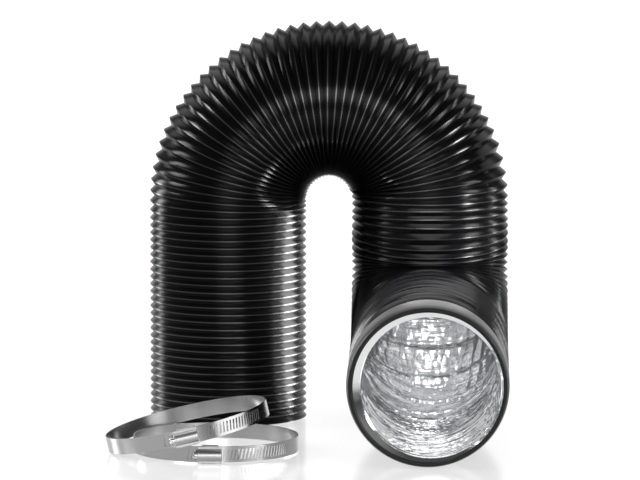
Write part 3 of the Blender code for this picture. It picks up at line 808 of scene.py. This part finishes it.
class DUCT_OT_hoop(bpy.types.Operator):
    """Turn the bright hoop inside the lip: a sloping band with a rolled bead at its back"""
    bl_idname = "duct.hoop"
    bl_label = "Bright Hoop"

    def execute(self, context):
        bead_centre = (HOOP_BACK - HOOP_BEAD, HOOP_NECK_RADIUS)
        flange = [(HOOP_FRONT, HOOP_FRONT_RADIUS - HOOP_EDGE), (HOOP_FRONT + HOOP_EDGE, HOOP_FRONT_RADIUS)]
        back = [(HOOP_NECK, HOOP_FRONT_RADIUS), (HOOP_NECK, HOOP_NECK_RADIUS + HOOP_BEAD)]
        bead = arc_points(bead_centre, HOOP_BEAD, 80, -170, BEAD_STEPS)
        neck = [(HOOP_GROOVE, HOOP_NECK_RADIUS + HOOP_BEAD), (HOOP_INNER, HOOP_INNER_RADIUS)]
        rows = turned_rows(flange + back + bead + neck, HOOP_OFFSET)
        hoop = add_skin("bright_hoop", rows, bright_steel(context.scene.duct_colours))
        settle(hoop, "front_end", "bright_steel", "mouth_ring")
        return {"FINISHED"}


WIRE_RADIUS = 0.6 * MM
WIRE_COIL_RADIUS = 54.2 * MM
WIRE_TURNS = 2.5
WIRE_PITCH = 4.6 * MM
WIRE_START = 16.5 * MM
WIRE_STEPS = 180
WIRE_SIDES = 12


class DUCT_OT_wire(bpy.types.Operator):
    """Wind the last turns of the spring wire under the cuff"""
    bl_idname = "duct.wire"
    bl_label = "Wire End Turns"

    def execute(self, context):
        turns = np.linspace(0.0, WIRE_TURNS, WIRE_STEPS)
        angles = math.tau * turns
        centre, inward, backward = route(ROUTE_END - WIRE_START - WIRE_PITCH * turns)
        spoke = np.cos(angles)[:, None] * inward + np.sin(angles)[:, None] * backward
        axis = np.cross(inward, backward)
        section = round_angles(WIRE_SIDES)[:, None]
        rows = (centre + WIRE_COIL_RADIUS * spoke)[:, None] + WIRE_RADIUS * (
            np.cos(section) * spoke[:, None] + np.sin(section) * axis[:, None])
        steel = plated_steel("drawn_spring_wire", context.scene.duct_colours.wire)
        wire = add_rod("wire_turns", rows, steel)
        settle(wire, "front_end", "spring_wire", "wire_end_turns")
        return {"FINISHED"}


# Worm-drive clamps, in their own frame: the hoop's axis is Z, the screw lies along X at -Y

# each clamp: the axis and angle of its tilt, and its turn about the hoop's axis, in degrees
CLAMPS = {"clamp_a": ("X", -0.45, -1.7), "clamp_b": ("Y", -13.0, 1.8)}
SCREW_OFFSET = 5.4 * MM
BAND_LAP_GAP = 0.3 * MM
BAND_START = math.radians(-108)
BAND_SWEEP = math.radians(398)
BAND_STEP = math.radians(2)
SLOT_FIRST = math.radians(-105.4)
SLOT_SHARE = 0.5
SLOT_SLANT = math.radians(0.75)
HOUSING_AT = math.radians(-90)


def screw_out(sizes):
    """Distance of the screw's axis from the hoop's."""
    return sizes.band_radius + SCREW_OFFSET


def lap_outside(sizes):
    """Radius outside both layers of the lapped band."""
    return sizes.band_radius + 2 * sizes.band_thickness + BAND_LAP_GAP


def clamp_place(name, sizes):
    """Matrix that sets a clamp where its screw's joint is."""
    axis, tilt, yaw = CLAMPS[name]
    turn = Matrix.Rotation(math.radians(tilt), 4, axis) @ Matrix.Rotation(math.radians(yaw), 4, "Z")
    joint = next(joint for joint in frame["joints"] if joint["name"] == name + "_screw_turn")
    arm = turn @ Vector((0.0, -screw_out(sizes), 0.0))
    return Matrix.Translation(Vector(joint["pos_m"]) - arm) @ turn


def band_columns(sizes):
    """Angles along the band with their slant, and which columns begin a slot."""
    columns = [(BAND_START, 0.0)]
    slots = set()
    for index in range(sizes.slot_count):
        left = SLOT_FIRST + index * sizes.slot_pitch
        slots.add(len(columns))
        columns += [(left, SLOT_SLANT), (left + SLOT_SHARE * sizes.slot_pitch, SLOT_SLANT)]
    start = columns[-1][0] + BAND_STEP
    count = math.ceil((BAND_START + BAND_SWEEP - start) / BAND_STEP)
    columns += [(angle, 0.0) for angle in np.linspace(start, BAND_START + BAND_SWEEP, count + 1)]
    return columns, slots


def band_builder(sizes):
    """Strip wound on itself, with slanted slots in its lapped end; lay holds its unrolled place."""
    builder = bmesh.new()
    lay = builder.verts.layers.float_vector.new("lay")
    columns, slots = band_columns(sizes)
    half = sizes.band_width / 2
    slot_half = sizes.slot_height / 2
    heights = (-half, -slot_half, slot_half, half)
    layer = sizes.band_thickness + BAND_LAP_GAP

    def corner(angle, height, outer):
        wound = (angle - BAND_START) / math.tau
        radius = sizes.band_radius + layer * (1 - wound) + outer * sizes.band_thickness
        vertex = builder.verts.new((radius * math.cos(angle), radius * math.sin(angle), height))
        vertex[lay] = (angle * sizes.band_radius, height, outer * sizes.band_thickness)
        return vertex

    grid = []
    for angle, slant in columns:
        shifted = [angle + slant * height / slot_half for height in heights]
        grid.append([[corner(a, h, outer) for outer in (0, 1)] for a, h in zip(shifted, heights)])

    def wall(first, second):
        builder.faces.new((first[0], second[0], second[1], first[1]))

    for index, (near, far) in enumerate(zip(grid, grid[1:])):
        for row in range(len(heights) - 1):
            if index in slots and row == 1:
                wall(near[1], far[1])
                wall(near[2], far[2])
                wall(near[1], near[2])
                wall(far[1], far[2])
                continue
            for side in (0, 1):
                builder.faces.new((near[row][side], far[row][side], far[row + 1][side], near[row + 1][side]))
        wall(near[0], far[0])
        wall(near[-1], far[-1])
    for end in (grid[0], grid[-1]):
        for low, high in zip(end, end[1:]):
            wall(low, high)
    return builder


class DUCT_OT_bands(bpy.types.Operator):
    """Wind the slotted stainless bands of both clamps"""
    bl_idname = "duct.bands"
    bl_label = "Clamp Bands"

    def execute(self, context):
        sizes = context.scene.clamp_sizes
        strip = rolled_stainless(context.scene.duct_colours)
        for name in CLAMPS:
            band = add_faces(name + "_slotted_band", band_builder(sizes), strip, clamp_place(name, sizes))
            settle(band, name, "stainless_strip", name + "_band")
        return {"FINISHED"}


SADDLE_HALF_ANGLE = math.radians(5.7)
SADDLE_WALL = 0.7 * MM
SADDLE_HALF_HEIGHT = 6.5 * MM
SADDLE_LIP = 4.7 * MM
SADDLE_CLEARANCE = 0.35 * MM
SADDLE_STEPS = 12
PRESSED_ROUND = 0.18 * MM


class DUCT_OT_saddles(bpy.types.Operator):
    """Wrap the saddles round both layers of the bands"""
    bl_idname = "duct.saddles"
    bl_label = "Clamp Saddles"

    def execute(self, context):
        sizes = context.scene.clamp_sizes
        inner = sizes.band_radius - SADDLE_CLEARANCE
        outer = lap_outside(sizes) + SADDLE_CLEARANCE
        edge = SADDLE_HALF_HEIGHT - SADDLE_WALL
        upper = [(inner, edge), (outer, edge), (outer, SADDLE_LIP), (outer + SADDLE_WALL, SADDLE_LIP)]
        upper += [(outer + SADDLE_WALL, SADDLE_HALF_HEIGHT), (inner - SADDLE_WALL, SADDLE_HALF_HEIGHT)]
        profile = upper + [(radius, -height) for radius, height in upper[::-1]]
        turns = HOUSING_AT + SADDLE_HALF_ANGLE * np.linspace(-1, 1, SADDLE_STEPS + 1)
        rows = [[(r * math.cos(turn), r * math.sin(turn), z) for r, z in profile] for turn in turns]
        sheet = pressed_stainless(context.scene.duct_colours)
        for name in CLAMPS:
            saddle = add_rod(name + "_wrapped_saddle", rows, sheet, clamp_place(name, sizes))
            round_edges(saddle, PRESSED_ROUND)
            settle(saddle, name, "stainless_strip", name + "_saddle")
        return {"FINISHED"}


HOUSING_LENGTH = 16.5 * MM
BARREL_RADIUS = 4.1 * MM
BARREL_STEPS = 24
FLANGE_HALF = 5.9 * MM
FLANGE_THICKNESS = 0.9 * MM
END_WALL = 1.6 * MM
WORM_RADIUS = 3.1 * MM
WORM_CLEARANCE = 0.4 * MM
NECK_RADIUS = 1.6 * MM
NECK_CLEARANCE = 0.3 * MM
HOUSING_ROUND = 0.3 * MM
SCREW_SIDES = 48


def across_screw(sizes, radius):
    """Round section about the screw's axis as (distance out from the hoop's axis, height)."""
    middle = screw_out(sizes)
    return [(middle + radius * math.cos(a), radius * math.sin(a)) for a in round_angles(SCREW_SIDES)]


def along_screw(section, places):
    """Rows of a section set at places along the screw."""
    return [[(place, -out, height) for out, height in section] for place in places]


def cut_away(piece, cutter):
    """Cut one object with another, which is then removed."""
    boolean = piece.modifiers.new("cut", "BOOLEAN")
    boolean.object = cutter
    boolean.operation = "DIFFERENCE"
    boolean.solver = "EXACT"
    bpy.context.view_layer.update()
    solid = piece.evaluated_get(bpy.context.evaluated_depsgraph_get())
    mesh = bpy.data.meshes.new_from_object(solid)
    piece.modifiers.remove(boolean)
    piece.data = mesh
    bpy.data.objects.remove(cutter, do_unlink=True)


class DUCT_OT_housings(bpy.types.Operator):
    """Press the arched housings with their flanges, worm tunnel and neck hole"""
    bl_idname = "duct.housings"
    bl_label = "Clamp Housings"

    def execute(self, context):
        sizes = context.scene.clamp_sizes
        foot = lap_outside(sizes) + SADDLE_CLEARANCE + SADDLE_WALL + SEAM_GAP
        middle = screw_out(sizes)
        top = foot + FLANGE_THICKNESS
        arch = [(middle + BARREL_RADIUS * math.cos(a), BARREL_RADIUS * math.sin(a))
                for a in np.linspace(math.pi / 2, -math.pi / 2, BARREL_STEPS + 1)]
        profile = [(foot, FLANGE_HALF), (top, FLANGE_HALF), (top, BARREL_RADIUS)] + arch
        profile += [(top, -BARREL_RADIUS), (top, -FLANGE_HALF), (foot, -FLANGE_HALF)]
        half = HOUSING_LENGTH / 2
        tunnel_half = half - END_WALL
        cuts = (
            (WORM_RADIUS + WORM_CLEARANCE, (-tunnel_half, tunnel_half)),
            (NECK_RADIUS + NECK_CLEARANCE, (-half - END_WALL, 0.0)),
        )
        sheet = pressed_stainless(context.scene.duct_colours)
        for name in CLAMPS:
            place = clamp_place(name, sizes)
            housing = add_rod(name + "_arched_housing", along_screw(profile, (-half, half)), sheet, place)
            for radius, places in cuts:
                section = along_screw(across_screw(sizes, radius), places)
                cut_away(housing, add_rod("cutter", section, sheet, place))
            round_edges(housing, HOUSING_ROUND)
            settle(housing, name, "stainless_strip", name + "_housing")
        return {"FINISHED"}


HEAD_RADIUS = 2.2 * MM
HEAD_LENGTH = 3.0 * MM
HEAD_BEVEL = 0.45 * MM
HEAD_SLOT_WIDTH = 0.8 * MM
HEAD_SLOT_DEPTH = 1.2 * MM
THREAD_PITCH = 2.6 * MM
THREAD_DEPTH = 0.8 * MM
THREAD_STEPS = 14
THREAD_EASE = 0.2
THREAD_END = 0.2
THREAD_FADE = THREAD_PITCH / 3


def worm_rows(sizes):
    """Rings along the screw: threaded worm, neck and head."""
    half = HOUSING_LENGTH / 2
    worm_half = half - END_WALL - SEAM_GAP
    head_start = -half - SEAM_GAP
    angles = round_angles(SCREW_SIDES)
    middle = screw_out(sizes)
    turns = 2 * worm_half / THREAD_PITCH
    rows = []

    def ring(place, radii):
        outs = middle + radii * np.cos(angles)
        heights = radii * np.sin(angles)
        rows.append(np.stack([np.full_like(outs, place), -outs, heights], axis=-1))

    for place in np.linspace(worm_half, -worm_half, int(turns * THREAD_STEPS)):
        wave = np.abs((place / THREAD_PITCH + angles / math.tau) % 1.0 - 0.5) * 2
        fade = min(1.0, (worm_half - abs(place)) / THREAD_FADE + THREAD_END)
        ring(place, WORM_RADIUS - THREAD_DEPTH * (1 - fade * eased(wave, THREAD_EASE)))
    for place, radius in (
        (-worm_half, NECK_RADIUS),
        (head_start, NECK_RADIUS),
        (head_start, HEAD_RADIUS),
        (head_start - HEAD_LENGTH + HEAD_BEVEL, HEAD_RADIUS),
        (head_start - HEAD_LENGTH, HEAD_RADIUS - HEAD_BEVEL),
    ):
        ring(place, np.full_like(angles, radius))
    return rows


class DUCT_OT_screws(bpy.types.Operator):
    """Turn the worm screws with their threads and slotted heads"""
    bl_idname = "duct.screws"
    bl_label = "Worm Screws"

    def execute(self, context):
        sizes = context.scene.clamp_sizes
        steel = plated_steel("zinc_plated_screw", context.scene.duct_colours.screw)
        middle = screw_out(sizes)
        head_end = -HOUSING_LENGTH / 2 - SEAM_GAP - HEAD_LENGTH
        reach = 2 * HEAD_RADIUS
        slot_half = HEAD_SLOT_WIDTH / 2
        corners = ((-1, -1), (1, -1), (1, 1), (-1, 1))
        section = [(middle + out * reach, up * slot_half) for out, up in corners]
        places = (head_end - HEAD_LENGTH, head_end + HEAD_SLOT_DEPTH)
        for name in CLAMPS:
            place = clamp_place(name, sizes)
            screw = add_rod(name + "_worm_screw", worm_rows(sizes), steel, place)
            cut_away(screw, add_rod("cutter", along_screw(section, places), steel, place))
            settle(screw, name + "_worm", "plated_screw", name + "_screw")
        return {"FINISHED"}


# Stage

PHOTO_WIDTH = 640
SENSOR_WIDTH = 36.0
TARGET_FROM_ARCH = Vector((-6.5, 0.0, -29.8)) * MM
FLOOR_SIZE = 40.0
FLOOR_FADE_END = 1.6
FLOOR_FAR_GAIN = 1.36
ACROSS, BACK, UP = (1.0, 0.0, 0.0), (0.0, 1.0, 0.0), (0.0, 0.0, 1.0)
# each lamp: direction from the object, distance, size, direction of its long side, share of its light setting
ARC_LAMPS = {
    "left_flame": ((-0.93, 0.0, 0.52), 2.0, (1.1, 0.7), UP, 1.15),
    "left_strip": ((-0.84, 0.52, 0.14), 2.0, (0.55, 1.0), UP, 0.6),
    "right_flame": ((0.91, -0.36, 0.3), 2.0, (0.8, 0.6), UP, 1.5),
    "right_strip": ((0.93, 0.34, 0.14), 2.0, (0.18, 1.0), UP, 1.2),
}
FRONT_LAMP = ((0.02, -0.97, 0.24), 5.5, (1.7, 3.2), ACROSS)
BACK_LAMP = ((0.0, 0.6, 0.8), 2.0, (1.5, 3.0), ACROSS)
GAP_SPREAD = math.radians(80)
GAP_HEIGHT = LEG_HEIGHT / 2
WALL_CARD_Y = MOUTH_Y + 95 * MM
WALL_CARD_HEIGHT = CREST_RADIUS + 24 * MM
# small cards near the pieces: a place, direction and distance back from it, size, direction of the long
# side, radiance, and the angle of the light where it is narrow
CARDS = {
    # between the legs: a bright narrow card, and a dim one before it that softens the edge of its shine
    "gap_card": ((ARCH_X, DUCT_Y - 22 * MM, GAP_HEIGHT), ACROSS, 0.0, (0.028, 0.15), UP, 5.4, GAP_SPREAD),
    "gap_edge": ((ARCH_X, DUCT_Y - 35 * MM, GAP_HEIGHT), ACROSS, 0.0, (0.045, 0.15), UP, 0.9, GAP_SPREAD),
    # in the bore over the bend
    "bore_lamp": ((DROP_X, DUCT_Y, LEG_HEIGHT), UP, 0.0, (0.1, 0.1), ACROSS, 0.75),
    "bore_spot": ((DROP_X, DUCT_Y, LEG_HEIGHT - 6 * MM), UP, 0.0, (0.035, 0.035), ACROSS, 4.0),
    # in the run, under its top and along its upper sides, for the foil's lower half to mirror
    "run_lamp": (
        (DROP_X, MOUTH_Y + 75 * MM, 2 * CREST_RADIUS - 12 * MM), UP, 0.0, (0.11, 0.07), ACROSS, 1.3),
    "left_wall_card": (
        (DROP_X - 35 * MM, WALL_CARD_Y, WALL_CARD_HEIGHT), (-0.82, 0.0, 0.57), 0.0, (0.05, 0.13), BACK, 0.55),
    "right_wall_card": (
        (DROP_X + 35 * MM, WALL_CARD_Y, WALL_CARD_HEIGHT), (0.82, 0.0, 0.57), 0.0, (0.05, 0.13), BACK, 0.55),
    # beside the loose clamps, beside the dropping leg and before the bend
    "clamp_card": (
        (-30 * MM, -140 * MM, 30 * MM), (0.96, -0.28, 0.0), 0.045, (0.05, 0.09), BACK, 1.6),
    "drop_card": (
        (DROP_X + 28 * MM, DUCT_Y - 49 * MM, LEG_HEIGHT - 27 * MM), (0.84, -0.525, -0.05), 0.07,
        (0.02, 0.075), UP, 1.5, math.radians(34)),
    "elbow_card": (
        (DROP_X, DUCT_Y - 130 * MM, 190 * MM), (0.0, -0.5, 0.87), 0.0,
        (0.12, 0.12), ACROSS, 3.2, math.radians(100)),
}
ROOM_AT_HORIZON = "#404040"
ROOM_STEPS = ((0.25, "#7a7a7a"), (0.5, "#7a7a7a"), (0.8, "#4a4a4a"))
BACKDROP_AT, BACKDROP_HALF_WIDTH, BACKDROP_HEIGHT = 4.0, 2.5, 1.2
# the floor is white in an oval pool of light: its middle and half sizes
POOL_MIDDLE = 2.4
POOL_HALF = (0.8, 3.4)
POOL_EDGE = 0.15


def add_lamp(name, middle, direction, distance, size, long_side, radiance, spread=math.pi):
    """Soft oval lamp that shines back past the middle, unseen by the camera itself."""
    lamp = bpy.data.lights.new(name, "AREA")
    lamp.shape = "ELLIPSE"
    lamp.spread = spread
    lamp.size, lamp.size_y = size
    lamp.energy = radiance * math.pi * size[0] * size[1]
    item = bpy.data.objects.new(name, lamp)
    back = Vector(direction).normalized()
    side = Vector(long_side).cross(back).normalized()
    turn = Matrix((side, back.cross(side), back)).transposed().to_4x4()
    item.matrix_world = Matrix.Translation(Vector(middle) + distance * back) @ turn
    item.visible_camera = False
    bpy.context.scene.collection.objects.link(item)


def add_sheet(name, corners, material):
    """Flat sheet of the stage."""
    mesh = bpy.data.meshes.new(name)
    mesh.from_pydata(corners, [], [range(len(corners))])
    sheet = link_mesh(name, mesh, material)
    return sheet


def add_floor(settings):
    """White glossy floor: it keeps the object's shadow and reflection, and the camera sees it white."""
    material, tree, shader = new_material("white_acrylic")
    set_inputs(tree, shader, {"Base Color": linear("#707070"), "Roughness": 0.15, "IOR": 1.45})
    rays = add_node(tree, "ShaderNodeLightPath").outputs
    seen = add_node(tree, "ShaderNodeMath", {
        0: rays["Is Camera Ray"], 1: rays["Is Glossy Ray"]}, operation="MAXIMUM")
    shown = add_node(tree, "ShaderNodeMath", {
        0: seen.outputs[0], 1: rays["Is Transmission Ray"]}, operation="MAXIMUM")
    place = add_node(tree, "ShaderNodeTexCoord").outputs["Object"]
    away = add_node(tree, "ShaderNodeVectorMath", {0: place}, operation="LENGTH")
    fade = add_node(tree, "ShaderNodeMapRange", {
        "Value": away.outputs["Value"], "From Max": FLOOR_FADE_END,
        "To Min": settings.floor_glow, "To Max": FLOOR_FAR_GAIN * settings.floor_glow})
    pool = add_node(tree, "ShaderNodeMapping", {
        "Vector": place, "Location": (0.0, -POOL_MIDDLE / POOL_HALF[1], 0.0),
        "Scale": (1 / POOL_HALF[0], 1 / POOL_HALF[1], 1.0)})
    inside = add_node(tree, "ShaderNodeTexGradient", {"Vector": pool.outputs[0]}, gradient_type="SPHERICAL")
    edge = add_node(tree, "ShaderNodeMapRange", {"Value": inside.outputs["Fac"], "From Max": POOL_EDGE})
    lit = add_node(tree, "ShaderNodeMath", {0: edge.outputs[0], 1: fade.outputs[0]}, operation="MULTIPLY")
    level = add_node(tree, "ShaderNodeMath", {0: shown.outputs[0], 1: lit.outputs[0]}, operation="MULTIPLY")
    white = add_node(tree, "ShaderNodeEmission", {"Strength": level.outputs[0]})
    both = add_node(tree, "ShaderNodeAddShader", {0: shader.outputs[0], 1: white.outputs[0]})
    tree.links.new(both.outputs[0], tree.nodes["Material Output"].inputs["Surface"])
    half = FLOOR_SIZE / 2
    add_sheet("floor", ((-half, -half, 0), (half, -half, 0), (half, half, 0), (-half, half, 0)), material)


def add_backdrop(settings):
    """White card far behind, which the glossy floor mirrors around the object's reflection."""
    material, tree, shader = new_material("white_card")
    set_inputs(tree, shader, {
        "Base Color": linear("#000000"),
        "Emission Color": linear("#ffffff"),
        "Emission Strength": settings.backdrop_radiance,
    })
    low = [(side * BACKDROP_HALF_WIDTH, BACKDROP_AT, 0.0) for side in (-1, 1)]
    high = [(side * BACKDROP_HALF_WIDTH, BACKDROP_AT, BACKDROP_HEIGHT) for side in (1, -1)]
    add_sheet("backdrop", low + high, material).visible_camera = False


def light_room():
    """Dim room light, palest between the horizon and overhead."""
    world = bpy.data.worlds.new("studio")
    bpy.context.scene.world = world
    world.use_nodes = True
    tree = world.node_tree
    direction = add_node(tree, "ShaderNodeTexCoord").outputs["Generated"]
    height = add_node(tree, "ShaderNodeSeparateXYZ", {"Vector": direction}).outputs["Z"]
    shades = add_node(tree, "ShaderNodeValToRGB", {"Fac": height})
    steps = shades.color_ramp.elements
    steps.remove(steps[-1])
    steps[0].color = linear(ROOM_AT_HORIZON)
    for position, colour in ROOM_STEPS:
        steps.new(position).color = linear(colour)
    set_inputs(tree, tree.nodes["Background"], {"Color": shades.outputs[0]})


class DUCT_OT_stage(bpy.types.Operator):
    """Set the white floor, soft studio light and the camera"""
    bl_idname = "duct.stage"
    bl_label = "Stage"

    def execute(self, context):
        settings = context.scene.studio_settings
        scene = context.scene
        scene.view_settings.view_transform = "Standard"
        add_floor(settings)
        light_room()
        middle = Vector((ARCH_X, DUCT_Y, LEG_HEIGHT))
        for name, (*place, share) in ARC_LAMPS.items():
            add_lamp(name, middle, *place, settings.strip_radiance * share)
        add_lamp("front_softbox", middle, *FRONT_LAMP, settings.front_radiance)
        add_lamp("back_softbox", middle, *BACK_LAMP, settings.back_radiance)
        add_backdrop(settings)
        for name, card in CARDS.items():
            add_lamp(name, *card)
        lens = bpy.data.cameras.new("camera")
        lens.sensor_width = SENSOR_WIDTH
        lens.lens = settings.pixels_per_metre * settings.distance * SENSOR_WIDTH / PHOTO_WIDTH
        lens.clip_end = 2 * FLOOR_SIZE
        camera = bpy.data.objects.new("camera", lens)
        level = Vector((-math.sin(settings.azimuth), math.cos(settings.azimuth), 0.0))
        toward = math.cos(settings.elevation) * level - Vector((0.0, 0.0, math.sin(settings.elevation)))
        camera.location = middle + TARGET_FROM_ARCH - settings.distance * toward
        camera.rotation_euler = toward.to_track_quat("-Z", "Y").to_euler()
        scene.collection.objects.link(camera)
        scene.camera = camera
        return {"FINISHED"}


STEPS = ("sleeve", "liner", "cuff", "hoop", "wire", "bands", "saddles", "housings", "screws", "stage")


class DUCT_PT_panel(bpy.types.Panel):
    """Lists the pieces of the duct, in the order they are made"""
    bl_idname = "DUCT_PT_panel"
    bl_label = "Flexible Air Duct"
    bl_space_type = "VIEW_3D"
    bl_region_type = "UI"
    bl_category = "Air Duct"

    def draw(self, context):
        for step in STEPS:
            self.layout.operator("duct." + step)
        for group in SETTINGS:
            column = self.layout.column()
            settings = getattr(context.scene, group)
            for label in settings.__annotations__:
                column.prop(settings, label)


SETTINGS = {
    "duct_sizes": DuctSizes,
    "clamp_sizes": ClampSizes,
    "duct_colours": DuctColours,
    "studio_settings": StudioSettings,
}
CLASSES = (
    *SETTINGS.values(),
    DUCT_OT_sleeve,
    DUCT_OT_liner,
    DUCT_OT_cuff,
    DUCT_OT_hoop,
    DUCT_OT_wire,
    DUCT_OT_bands,
    DUCT_OT_saddles,
    DUCT_OT_housings,
    DUCT_OT_screws,
    DUCT_OT_stage,
    DUCT_PT_panel,
)


def register():
    for item in CLASSES:
        bpy.utils.register_class(item)
    for label, group in SETTINGS.items():
        setattr(bpy.types.Scene, label, bpy.props.PointerProperty(type=group))


def unregister():
    for label in SETTINGS:
        delattr(bpy.types.Scene, label)
    for item in reversed(CLASSES):
        bpy.utils.unregister_class(item)


def main():
    register()
    for step in STEPS:
        getattr(bpy.ops.duct, step)()
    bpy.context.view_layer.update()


if __name__ == "__main__":
    main()
